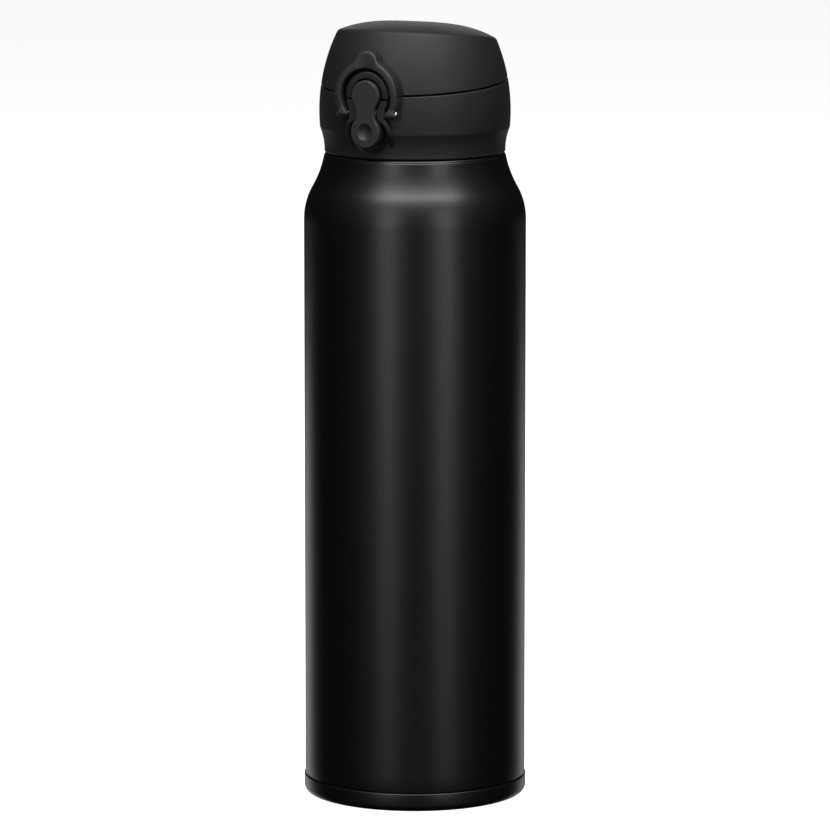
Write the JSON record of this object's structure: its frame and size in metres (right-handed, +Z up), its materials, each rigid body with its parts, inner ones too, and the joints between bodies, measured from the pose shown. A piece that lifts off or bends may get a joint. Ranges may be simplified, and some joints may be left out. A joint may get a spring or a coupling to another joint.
{
  "type": "vacuum flask",
  "caption": "Slim double-walled steel drinking flask with a screw-on cap unit, a sprung flip-up lid on a rear hinge, a rocking push button and a pivoting lock ring.",
  "frame": {"origin": "centre of the base, on the surface that it stands on", "axes": "+Z up along the bottle's axis, latch and button face -Y, lid hinge at +Y"},
  "size_m": [0.0786, 0.0786, 0.2746],
  "materials": {
    "painted_steel": "fine satin black paint on stainless steel",
    "bare_steel": "brushed stainless steel",
    "plain_steel": "mill-finished steel hidden in the wall",
    "copper_foil": "bright copper foil",
    "sealing_metal": "fused sealing metal",
    "getter_alloy": "sintered getter pill",
    "black_base": "satin black base",
    "cap_plastic": "fine-grained matte black polypropylene",
    "button_plastic": "fine-grained matte black polypropylene",
    "inner_plastic": "smooth black polypropylene",
    "silicone": "translucent pale silicone",
    "polished_steel": "polished stainless steel pin",
    "spring_steel": "drawn stainless spring wire"
  },
  "bodies": {
    "bottle": {"outer_shell": "painted_steel", "inner_vessel": "bare_steel", "bottom_plate": "plain_steel", "evacuation_seal": "sealing_metal", "getter": "getter_alloy", "radiation_foil": "copper_foil", "base_cap": "black_base"},
    "stopper_seal": {"stopper_gasket": "silicone"},
    "cap": {"cap_body": "cap_plastic", "stopper_core": "inner_plastic", "spout": "inner_plastic", "spout_gasket": "silicone", "hinge_pin": "polished_steel", "hinge_spring": "spring_steel", "latch_pin": "polished_steel", "button_spring": "spring_steel"},
    "lid": {"lid_shell": "cap_plastic", "lid_liner": "inner_plastic", "lid_gasket": "silicone"},
    "button": {"push_button": "button_plastic"},
    "ring": {"lock_ring": "button_plastic"}
  },
  "joints": [
    {"name": "cap_rise", "type": "slide", "parent": "bottle", "child": "stopper_seal", "axis": [0, 0, 1], "range_m": [0, 0.0061]},
    {"name": "cap_turn", "type": "hinge", "parent": "stopper_seal", "child": "cap", "pos_m": [0, 0, 0.24], "axis": [0, 0, 1], "range_deg": [0, 540]},
    {"name": "lid_hinge", "type": "hinge", "parent": "cap", "child": "lid", "pos_m": [0, 0.0324, 0.2552], "axis": [-1, 0, 0], "range_deg": [0, 155], "deforming": ["hinge_spring"]},
    {"name": "button_press", "type": "hinge", "parent": "cap", "child": "button", "pos_m": [0, -0.0343, 0.2446], "axis": [1, 0, 0], "range_deg": [0, 8], "stiffness_Nm_per_rad": 0.05, "deforming": ["button_spring"]},
    {"name": "ring_flip", "type": "hinge", "parent": "cap", "child": "ring", "pos_m": [0, -0.0343, 0.2446], "axis": [1, 0, 0], "range_deg": [0, 120]}
  ],
  "couplings": [
    {"joint": "cap_rise", "follows": "cap_turn", "m_per_rad": 0.00063662}
  ]
}
